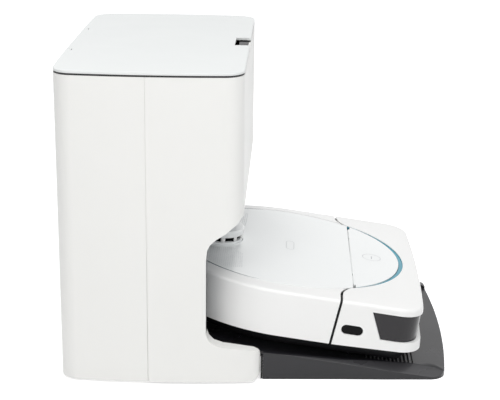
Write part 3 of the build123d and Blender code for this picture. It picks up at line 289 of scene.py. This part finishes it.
def splitSeen(tree, hidden, seen, out):
    # camera and mirror rays get the seen shader, and all others the hidden one
    path = tree.nodes.new("ShaderNodeLightPath")
    either = tree.nodes.new("ShaderNodeMath")
    either.operation = "MAXIMUM"
    mix = tree.nodes.new("ShaderNodeMixShader")
    link = tree.links.new
    link(path.outputs["Is Camera Ray"], either.inputs[0])
    link(path.outputs["Is Glossy Ray"], either.inputs[1])
    link(either.outputs[0], mix.inputs["Fac"])
    link(hidden.outputs[0], mix.inputs[1])
    link(seen.outputs[0], mix.inputs[2])
    link(mix.outputs[0], out.inputs["Surface"])


def addShader(tree, kind, color, strength=None):
    shader = tree.nodes.new(kind)
    shader.inputs["Color"].default_value = color
    if strength is not None:
        shader.inputs["Strength"].default_value = strength
    return shader


studio = {"floorSize": 14, "floorDrop": 0.0004, "floorDull": (0.80, 0.80, 0.80, 1),
    "floorBright": (0.95, 0.95, 0.95, 1), "floorGlow": 0.62, "white": (1, 1, 1, 1),
    "ambient": (0.97, 0.985, 1.0, 1), "ambientStrength": 0.45, "backdropStrength": 1.0, "aim": (0, 0, 0.15)}


def whiteFloor():
    # the floor reads as plain white, but doesn't throw that much light back
    material = bpy.data.materials.new("whiteFloor")
    material.use_nodes = True
    tree = material.node_tree
    tree.nodes.clear()
    out = tree.nodes.new("ShaderNodeOutputMaterial")
    dull = addShader(tree, "ShaderNodeBsdfDiffuse", studio["floorDull"])
    bright = addShader(tree, "ShaderNodeBsdfDiffuse", studio["floorBright"])
    glow = addShader(tree, "ShaderNodeEmission", studio["white"], studio["floorGlow"])
    both = tree.nodes.new("ShaderNodeAddShader")
    tree.links.new(bright.outputs[0], both.inputs[0])
    tree.links.new(glow.outputs[0], both.inputs[1])
    splitSeen(tree, dull, both, out)
    return material


floorMesh = bpy.data.meshes.new("floor")
floorForm = bmesh.new()
bmesh.ops.create_grid(floorForm, x_segments=1, y_segments=1, size=studio["floorSize"])
floorForm.to_mesh(floorMesh)
floorForm.free()
floor = bpy.data.objects.new("floor", floorMesh)
floor.location.z = -studio["floorDrop"]
floorMesh.materials.append(whiteFloor())
bpy.context.scene.collection.objects.link(floor)

world = bpy.data.worlds.new("studio")
bpy.context.scene.world = world
world.use_nodes = True
world.node_tree.nodes.clear()
ambient = addShader(world.node_tree, "ShaderNodeBackground", studio["ambient"], studio["ambientStrength"])
backdrop = addShader(world.node_tree, "ShaderNodeBackground", studio["white"], studio["backdropStrength"])
splitSeen(world.node_tree, ambient, backdrop, world.node_tree.nodes.new("ShaderNodeOutputWorld"))

lamps = {
    "softKey": {"at": (-0.50, -1.60, 1.0), "size": 0.55, "watts": 6.0, "tint": (1.0, 0.99, 0.97)},
    "softTop": {"at": (0.45, -0.70, 2.0), "size": 1.6, "watts": 22.0, "tint": (1.0, 1.0, 1.0)},
    "frontFill": {"at": (0.40, -1.8, 0.30), "size": 0.8, "watts": 2.2, "tint": (1.0, 1.0, 1.0)},
    "backFill": {"at": (-1.0, 1.35, 1.75), "size": 1.2, "watts": 9.0, "tint": (1.0, 1.0, 1.0)},
}
for name, lamp in lamps.items():
    light = bpy.data.lights.new(name, "AREA")
    light.size = lamp["size"]
    light.energy = lamp["watts"]
    light.color = lamp["tint"]
    holder = bpy.data.objects.new(name, light)
    holder.location = lamp["at"]
    aim = Vector(studio["aim"]) - Vector(lamp["at"])
    holder.rotation_euler = aim.to_track_quat("-Z", "Y").to_euler()
    bpy.context.scene.collection.objects.link(holder)
bpy.context.scene.view_settings.view_transform = "Standard"
print("camera, floor and lamps placed")

bodies = frame["record"]["behaviour"]["bodies"]
bodyOf = {node: body for body, members in bodies.items() for node in members}


def mergedCopy(nodeName):
    # a frame node's triangles, joined up and with its flat faces made whole
    join = {"gap": 0.000002, "flat": math.radians(0.6)}
    form = bmesh.new()
    form.from_mesh(nodes[nodeName].data)
    bmesh.ops.remove_doubles(form, verts=form.verts, dist=join["gap"])
    bmesh.ops.dissolve_limit(form, angle_limit=join["flat"], verts=form.verts, edges=form.edges)
    return form


def addPiece(name, form, finish, body, stands=(), smooth=180):
    mesh = bpy.data.meshes.new(name)
    form.to_mesh(mesh)
    form.free()
    mesh.materials.append(finishes[finish])
    mesh.shade_smooth()
    if smooth < 180:
        mesh.set_sharp_from_angle(angle=math.radians(smooth))
    piece = bpy.data.objects.new(name, mesh)
    bpy.context.scene.collection.objects.link(piece)
    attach(piece, body)
    if stands:
        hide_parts(*stands)
    return piece


def roundEdges(piece, width, segments=2, angle=38):
    bevel = piece.modifiers.new("roundedEdges", "BEVEL")
    bevel.width = width * mm
    bevel.segments = segments
    bevel.limit_method = "ANGLE"
    bevel.angle_limit = math.radians(angle)
    bevel.use_clamp_overlap = True
    bevel.harden_normals = False
    even = piece.modifiers.new("evenShade", "WEIGHTED_NORMAL")
    even.keep_sharp = True
    return piece


def addSoft(nodeName, pieceName, width):
    # a frame node with its edges eased, so many millimetres wide
    piece = addPiece(pieceName, mergedCopy(nodeName), nodeFinish[nodeName], bodyOf[nodeName], [nodeName])
    soft[pieceName] = roundEdges(piece, width)


def paintFaces(piece, finish, chosen):
    # a second finish on the faces that the test chooses
    mesh = piece.data
    mesh.materials.append(finishes[finish])
    for face in mesh.polygons:
        if chosen(face):
            face.material_index = 1


def addBlock(form, xs, ys, zs):
    made = bmesh.ops.create_cube(form, size=1)["verts"]
    bmesh.ops.scale(form, vec=(xs[1] - xs[0], ys[1] - ys[0], zs[1] - zs[0]), verts=made)
    bmesh.ops.translate(form, vec=((xs[0] + xs[1]) / 2, (ys[0] + ys[1]) / 2, (zs[0] + zs[1]) / 2), verts=made)
    return made


def addPost(form, radius, x, y, low, high, segments=24, top=None):
    made = bmesh.ops.create_cone(form, cap_ends=True, cap_tris=False, segments=segments,
        radius1=radius, radius2=radius if top is None else top, depth=high - low)["verts"]
    bmesh.ops.translate(form, vec=(x, y, (low + high) / 2), verts=made)
    return made


def newVerts(made):
    return [item for item in made["geom"] if isinstance(item, bmesh.types.BMVert)]


def lay(form, placed):
    # from a drawing in millimetres to its place in metres
    bmesh.ops.transform(form, matrix=placed, verts=form.verts)
    return form


soft = {}
turret = {"x": -40.0}
plate = {"x": 58.2}

# the lid's top edge is well rounded, its other edges only eased
lidEdge = {"round": 1.5, "segments": 4, "top": 388.0, "near": 0.05, "steep": 60, "rear": -241.0,
    "front": -40.0, "notch": 26.0, "hinge": -230, "ears": (65.0, 75.0), "ease": 0.3}
inner, outer = lidEdge["ears"]
form = mergedCopy("top_lid")
rims = []
for edge in form.edges:
    ends = [vertex.co / mm for vertex in edge.verts]
    steep = len(edge.link_faces) == 2 and edge.calc_face_angle(0) > math.radians(lidEdge["steep"])
    clear = all(end.z > lidEdge["top"] - lidEdge["near"] and end.x > lidEdge["rear"] for end in ends)
    notched = all(end.x > lidEdge["front"] and abs(end.y) < lidEdge["notch"] for end in ends)
    hinged = all(end.x < lidEdge["hinge"] and inner < abs(end.y) < outer for end in ends)
    if steep and clear and not notched and not hinged:
        rims.append(edge)
bmesh.ops.bevel(form, geom=rims, offset=lidEdge["round"] * mm, offset_type="OFFSET",
    segments=lidEdge["segments"], profile=0.5, affect="EDGES", clamp_overlap=False, material=-1)
soft["lidPanel"] = roundEdges(addPiece("lidPanel", form, "lidWhite", "lid", ["top_lid"]), lidEdge["ease"])

# the mouldings that show, each with its piece's name and the width of its eased edges
softened = {
    "rear_shell": ("stationBack", 0.8), "front_shell": ("stationFront", 1.2),
    "lid_latch": ("latchButton", 0.8), "recess_liner": ("bayLining", 0.6), "docking_ramp": ("rampTray", 1.3),
    "exhaust_grille": ("exhaustSlats", 0.5), "power_socket": ("mainsInlet", 0.4),
    "body_shell": ("robotSkin", 0.9), "bumper": ("bumperSkin", 0.7), "top_plate": ("topPanel", 0.45),
    "front_cover": ("coverPanel", 0.45), "light_strip": ("lightCrescent", 0.3),
    "power_button": ("startButton", 0.8), "bumper_window": ("sensorPane", 0.3),
    "turret_ring": ("turretWell", 0.5), "turret_cap": ("turretLid", 0.6), "lidar_head": ("rangingHead", 0.5),
}
for nodeName, (pieceName, width) in softened.items():
    addSoft(nodeName, pieceName, width)
print("softened", len(soft), "mouldings")

# the turret's well is white outside and black within
wellWhite = {"beyond": 37.0, "rim": (2.5, 3.5)}
level = docked.inverted()


def onWellWhite(face):
    spot = level @ face.center
    outside = math.hypot(spot.x - turret["x"], spot.y) > wellWhite["beyond"]
    return outside or wellWhite["rim"][0] < spot.z < wellWhite["rim"][1]


paintFaces(soft["turretWell"], "plateGloss", onWellWhite)

# these frame nodes have their edges eased too, by so many millimetres
eased = {
    "top_deck": 0.5, "lid_seal": 0.4, "station_feet": 0.6, "bag_chamber": 0.5, "bag_collar": 0.4,
    "port_seal": 0.4, "station_contacts": 0.3, "signal_window": 0.3, "chassis": 0.4, "side_windows": 0.2,
    "mop_plate": 0.5, "brush_guard": 0.5, "robot_contacts": 0.3, "caster_fork": 0.4, "caster_wheel": 1.0,
    "left_wheel_hub": 0.5, "right_wheel_hub": 0.5, "left_tyre": 0.5, "right_tyre": 0.5, "main_brush": 0.4,
    "lid_hinge_pins": 0.2, "station_screws": 0.4, "left_wheel_arm": 0.5, "right_wheel_arm": 0.5,
    "motor_housing": 0.5, "dust_bin": 0.5, "water_tank": 0.5, "battery": 1.5,
}
for nodeName, width in eased.items():
    words = nodeName.split("_")
    addSoft(nodeName, words[0] + "".join(word.capitalize() for word in words[1:]), width)
print("eased", len(eased), "more pieces")

# the hinge ears show in the lid's rear edge, so they are as white as it is
earLow = 384.0
paintFaces(soft["topDeck"], "lidWhite", lambda face: face.center.z > earLow * mm)

# the ramp's slanting side edges are painted a little paler than its faces: a painted highlight for the light
# they catch
paintedHighlight = {"aside": (0.35, 0.70), "upward": (0.70, 0.95)}


def onPaintedHighlight(face):
    aside = paintedHighlight["aside"][0] < abs(face.normal.y) < paintedHighlight["aside"][1]
    return aside and paintedHighlight["upward"][0] < face.normal.z < paintedHighlight["upward"][1]


paintFaces(soft["rampTray"], "rampHighlight", onPaintedHighlight)

# white pillars between the turret's windows
pillars = {"count": 12, "start": 20, "ring": 34.6, "long": 5.4, "deep": 2.6, "z": (2.6, 9.4)}
form = bmesh.new()
for index in range(pillars["count"]):
    made = addBlock(form, (pillars["ring"], pillars["ring"] + pillars["deep"]),
        (-pillars["long"] / 2, pillars["long"] / 2), pillars["z"])
    turn = Matrix.Rotation(math.radians(pillars["start"] + 360 * index / pillars["count"]), 4, "Z")
    bmesh.ops.transform(form, matrix=Matrix.Translation((turret["x"], 0, 0)) @ turn, verts=made)
addPiece("turretPillars", lay(form, docked), "robotWhite", "robot")

# fine raised dots on the rear of the plate, close together in arcs round the turret; their grey is painted
# shade that darkens the dotted patch
dots = {"rings": 16, "firstRing": 49.0, "pitch": 4.3, "step": 2.7, "radius": 0.85, "taper": 0.45,
    "sink": 0.05, "rise": 0.4, "sides": 6, "rear": 138.0, "sector": (54, 306), "front": 1.0}
form = bmesh.new()
for ring in range(dots["rings"]):
    radius = dots["firstRing"] + dots["pitch"] * ring
    step = math.degrees(dots["step"] / radius)
    start, end = dots["sector"]
    for index in range(int((end - start) / step) + 1):
        angle = math.radians(start + step * index)
        x = turret["x"] + radius * math.cos(angle)
        y = radius * math.sin(angle)
        if x < dots["front"] and math.hypot(x - plate["x"], y) < dots["rear"]:
            addPost(form, dots["radius"], x, y, -dots["sink"], dots["rise"], segments=dots["sides"],
                top=dots["radius"] * dots["taper"])
addPiece("plateDots", lay(form, docked), "dotShadeGrey", "robot", smooth=50)

# a dark ring in the joint beside the plate's round edge: a real gap, widened at the rear by painted shadow,
# and gone at the sides
edgeGapShade = {"radius": 143.4, "wide": 4.2, "sink": 0.02, "rise": 0.12, "reach": 76.0, "segments": 360}
form = bmesh.new()
circle = bmesh.ops.create_circle(form, cap_ends=False, segments=edgeGapShade["segments"],
    radius=edgeGapShade["radius"])["verts"]
rim = list({edge for vertex in circle for edge in vertex.link_edges})
spare = []
for vertex in newVerts(bmesh.ops.extrude_edge_only(form, edges=rim)):
    away = math.degrees(math.atan2(abs(vertex.co.y), -vertex.co.x))
    share = max(0.0, 1 - (away / edgeGapShade["reach"]) ** 2)
    vertex.co *= 1 + edgeGapShade["wide"] * share / edgeGapShade["radius"]
    if share == 0.0:
        spare.append(vertex)
bmesh.ops.delete(form, geom=spare, context="VERTS")
loose = [vertex for vertex in form.verts if not vertex.link_faces]
bmesh.ops.delete(form, geom=loose, context="VERTS")
for vertex in newVerts(bmesh.ops.extrude_face_region(form, geom=form.faces[:])):
    vertex.co.z += edgeGapShade["rise"]
bmesh.ops.translate(form, vec=(plate["x"], 0, -edgeGapShade["sink"]), verts=form.verts)
bmesh.ops.recalc_face_normals(form, faces=form.faces)
addPiece("plateGap", lay(form, docked), "gapShadeTeal", "robot", smooth=50)
print("turret pillars and plate dots made")


def applied(piece):
    # the mesh as its modifiers leave it becomes the piece's own
    bpy.context.view_layer.update()
    seen = piece.evaluated_get(bpy.context.evaluated_depsgraph_get())
    mesh = bpy.data.meshes.new_from_object(seen)
    piece.modifiers.clear()
    piece.data = mesh
    return piece


def remeshed(piece, size):
    cover = piece.modifiers.new("evenSkin", "REMESH")
    cover.mode = "VOXEL"
    cover.voxel_size = size * mm
    return applied(piece)


def puffed(piece, pressure, most, steps=20):
    # air blown in for a few frames, with no point moving further than most
    cloth = piece.modifiers.new("puff", "CLOTH")
    cloth.settings.use_pressure = True
    cloth.settings.uniform_pressure_force = pressure
    cloth.settings.effector_weights.gravity = 0
    cloth.point_cache.frame_end = steps
    before = [v.co.copy() for v in piece.data.vertices]
    for frameNumber in range(1, steps + 1):
        bpy.context.scene.frame_set(frameNumber)
    applied(piece)
    bpy.context.scene.frame_set(1)
    piece.modifiers.clear()
    for vertex, start in zip(piece.data.vertices, before):
        move = vertex.co - start
        if move.length > most * mm:
            vertex.co = start + move.normalized() * most * mm
    return piece


# the paper-cloth bag: a puffed pouch with pleats down its sides
pouch = {"inset": 4.0, "voxel": 5.0, "pressure": 3.5, "most": 5.5, "pleats": 3, "pleatDepth": 2.4,
    "pleatFrom": 0.80, "pleatSpan": 0.20, "levels": 1}
low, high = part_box("dust_bag")
middle = (low + high) / 2
form = mergedCopy("dust_bag")
for vertex in form.verts:
    for axis in range(3):
        half = (high[axis] - low[axis]) / 2
        shrink = 1 - pouch["inset"] * mm / half
        vertex.co[axis] = middle[axis] + (vertex.co[axis] - middle[axis]) * shrink
bag = addPiece("dustPouch", form, "filterCloth", "station", ["dust_bag"])
remeshed(bag, pouch["voxel"])
puffed(bag, pouch["pressure"], pouch["most"])
for vertex in bag.data.vertices:
    across = abs(vertex.co.x - middle.x) / ((high.x - low.x) / 2)
    along = abs(vertex.co.y - middle.y) / ((high.y - low.y) / 2)
    height = (vertex.co.z - low.z) / (high.z - low.z)
    side = max(0.0, max(across, along) - pouch["pleatFrom"]) / pouch["pleatSpan"]
    fold = 0.5 - 0.5 * math.cos(2 * math.pi * pouch["pleats"] * height)
    pull = pouch["pleatDepth"] * mm * side * fold
    if along > across:
        vertex.co.y -= math.copysign(pull, vertex.co.y - middle.y)
    else:
        vertex.co.x -= math.copysign(pull, vertex.co.x - middle.x)
smoother = bag.modifiers.new("cloth", "SUBSURF")
smoother.levels = pouch["levels"]
smoother.render_levels = pouch["levels"]
bag.data.shade_smooth()
print("dust bag puffed")

# the mop cloth: a thin pad with quilting channels on its underside
quilt = {"voxel": 2.2, "channel": 16.0, "dip": 0.9, "sharp": 6, "under": -81.2}
mop = addPiece("mopCloth", mergedCopy("mop_pad"), "mopCloth", "robot", ["mop_pad"])
remeshed(mop, quilt["voxel"])
for vertex in mop.data.vertices:
    spot = level @ vertex.co
    if spot.z < quilt["under"]:
        wave = 0.5 + 0.5 * math.cos(2 * math.pi * (spot.x + spot.y) / quilt["channel"])
        cross = 0.5 + 0.5 * math.cos(2 * math.pi * (spot.x - spot.y) / quilt["channel"])
        spot.z += quilt["dip"] * max(wave, cross) ** quilt["sharp"]
        vertex.co = docked @ spot
mop.data.shade_smooth()
print("mop cloth quilted")

# bristle rows between the roller's rubber vanes
roller = {"x": 128.0, "z": -64.5, "core": 10.6, "reach": 17.2, "half": 84.0, "rows": 6, "start": 30,
    "tufts": 34, "thick": 1.3, "tip": 0.7, "sides": 6}
form = bmesh.new()
for row in range(roller["rows"]):
    turn = Matrix.Rotation(math.radians(roller["start"] + 360 * row / roller["rows"]), 4, "Y")
    for index in range(roller["tufts"]):
        place = (index + 0.5) / roller["tufts"] * 2 - 1
        shift = Matrix.Translation((roller["x"], place * roller["half"], roller["z"]))
        tuft = addPost(form, roller["thick"], 0, 0, roller["core"], roller["reach"],
            segments=roller["sides"], top=roller["tip"])
        bmesh.ops.transform(form, matrix=shift @ turn, verts=tuft)
addPiece("rollerBristles", lay(form, docked), "bristle", "roller_brush", smooth=50)

# the corner brush: a hub with three rubber fingers, each ending in a fan of bristles
corner = {"x": 195.0, "y": 100.0, "low": -80.6, "lift": 1.2, "fingers": 3, "start": 15, "finger": 24.0,
    "root": 7, "reach": 43.6, "bristles": 11, "spread": 13.0, "thick": 0.45, "tip": 0.28, "sides": 5,
    "fan": 2.4, "droop": 1.2, "ease": 0.5}
form = mergedCopy("side_brush")
bmesh.ops.transform(form, matrix=level, verts=form.verts)
for index in range(corner["fingers"]):
    turn = math.radians(360 / corner["fingers"] * index + corner["start"])
    away = Vector((math.cos(turn), math.sin(turn), 0))
    cut = Vector((corner["x"], corner["y"], 0)) + away * corner["finger"]
    halves = bmesh.ops.bisect_plane(form, geom=form.verts[:] + form.edges[:] + form.faces[:],
        plane_co=cut, plane_no=away, clear_outer=True)
    rim = [item for item in halves["geom_cut"] if isinstance(item, bmesh.types.BMEdge)]
    bmesh.ops.holes_fill(form, edges=rim, sides=0)
hub = addPiece("cornerHub", lay(form, docked), "brushRubber", "corner_brush", ["side_brush"])
roundEdges(hub, corner["ease"])
form = bmesh.new()
shift = Matrix.Translation((corner["x"], corner["y"], corner["low"] + corner["lift"]))
for finger in range(corner["fingers"]):
    for index in range(corner["bristles"]):
        share = index / (corner["bristles"] - 1) * 2 - 1
        turn = math.radians(360 / corner["fingers"] * finger + corner["start"] + corner["spread"] * share)
        lean = math.radians(90 + corner["fan"] * abs(share) + corner["droop"])
        hair = addPost(form, corner["thick"], 0, 0, corner["finger"] - corner["root"], corner["reach"],
            segments=corner["sides"], top=corner["tip"])
        bmesh.ops.transform(form, verts=hair,
            matrix=shift @ Matrix.Rotation(turn, 4, "Z") @ Matrix.Rotation(lean, 4, "Y"))
addPiece("cornerBristles", lay(form, docked), "bristle", "corner_brush", smooth=50)
print("brushes dressed")

# drive wheels: short cross lugs between the tyre's grooves
lugs = {"x": 58.0, "z": -50.0, "y": 119.0, "wide": 20.4, "ring": 32.4, "rise": 0.55, "half": 0.7,
    "count": 18, "start": 10, "offsets": (-3.4, 0.0, 3.4)}
for side, body in ((1, "left_wheel"), (-1, "right_wheel")):
    shift = Matrix.Translation((lugs["x"], side * lugs["y"], lugs["z"]))
    form = bmesh.new()
    for index in range(lugs["count"]):
        for offset in lugs["offsets"]:
            made = addBlock(form, (-lugs["half"], lugs["half"]), (-lugs["wide"] / 2, lugs["wide"] / 2),
                (lugs["ring"], lugs["ring"] + lugs["rise"]))
            turn = math.radians(lugs["start"] + 360 * index / lugs["count"]) + offset / lugs["ring"]
            bmesh.ops.transform(form, matrix=shift @ Matrix.Rotation(turn, 4, "Y"), verts=made)
    addPiece(body.replace("_wheel", "") + "Lugs", lay(form, docked), "tread", body)
print("wheels dressed")


def addPair(name, strip, finish):
    # the same strip on both sides of the station
    form = bmesh.new()
    for side in (1, -1):
        addBlock(form, strip["x"], sorted(side * edge for edge in strip["y"]), strip["z"])
    addPiece(name, lay(form, upright), finish, "station")


# dark strips in the slits between the feet and the ramp: painted shadow, so the slits read dark
slit = {"x": (4.75, 7.2), "y": (171.8, 175.0), "z": (0.6, 30.5)}
addPair("slitShadeStrips", slit, "softRubber")

# a white strip a little way down the seam between the station's two shells
seam = {"x": (-132.32, -131.68), "y": (195.2, 197.3), "z": (3.4, 382.2)}
addPair("seamStrips", seam, "stationWhite")

# a strip that fills the joint between the plate and the cover, just below their tops
joint = {"x": (142.82, 143.22), "half": 104.0, "z": (-2.4, -0.04)}
form = bmesh.new()
addBlock(form, joint["x"], (-joint["half"], joint["half"]), joint["z"])
addPiece("jointStrip", lay(form, docked), "plateGloss", "robot")

# printed marks with no words in them: a ring and bar on the cover, a pill on the plate
pen = {"thick": 0.8, "proud": 0.05, "segments": 48}
ring = {"radius": 12.5, "x": 172.0, "y": 3.0, "barHalf": (0.5, 5.0)}
pill = {"radius": 5.5, "x": 62.0, "y": 3.0, "long": 22.0}


def addOutline(form, mark, long=0.0):
    # a thin closed line, round or stretched across into a pill
    outer = bmesh.ops.create_circle(form, cap_ends=False, segments=pen["segments"],
        radius=mark["radius"])["verts"]
    rim = list({edge for vertex in outer for edge in vertex.link_edges})
    inner = newVerts(bmesh.ops.extrude_edge_only(form, edges=rim))
    bmesh.ops.scale(form, vec=(1 - pen["thick"] / mark["radius"],) * 3, verts=inner)
    for vertex in outer + inner:
        vertex.co.y += math.copysign(long / 2, vertex.co.y)
    bmesh.ops.translate(form, vec=(mark["x"], mark["y"], pen["proud"]), verts=outer + inner)


form = bmesh.new()
addOutline(form, ring)
barX, barY = ring["barHalf"]
addBlock(form, (ring["x"] - barX, ring["x"] + barX), (ring["y"] - barY, ring["y"] + barY),
    (0.0, pen["proud"]))
addPiece("coverMark", lay(form, docked), "printGrey", "cover")
form = bmesh.new()
addOutline(form, pill, pill["long"])
addPiece("plateMark", lay(form, docked), "printGrey", "robot")

# ribs between the grooves of the ramp's front edge; their pale grey is a painted highlight for the light
# their edges catch
ribs = {"front": 231.5, "pitch": 5.05, "count": 12, "half": 137.5, "wide": 1.5, "z": (-83.6, -83.08),
    "ease": 0.2}
form = bmesh.new()
for index in range(ribs["count"]):
    middle = ribs["front"] - ribs["pitch"] * (index + 0.5)
    xs = (middle - ribs["wide"] / 2, middle + ribs["wide"] / 2)
    addBlock(form, xs, (-ribs["half"], ribs["half"]), ribs["z"])
roundEdges(addPiece("rampRibs", lay(form, docked), "ribHighlightGrey", "station"), ribs["ease"])
print("strips and marks made")
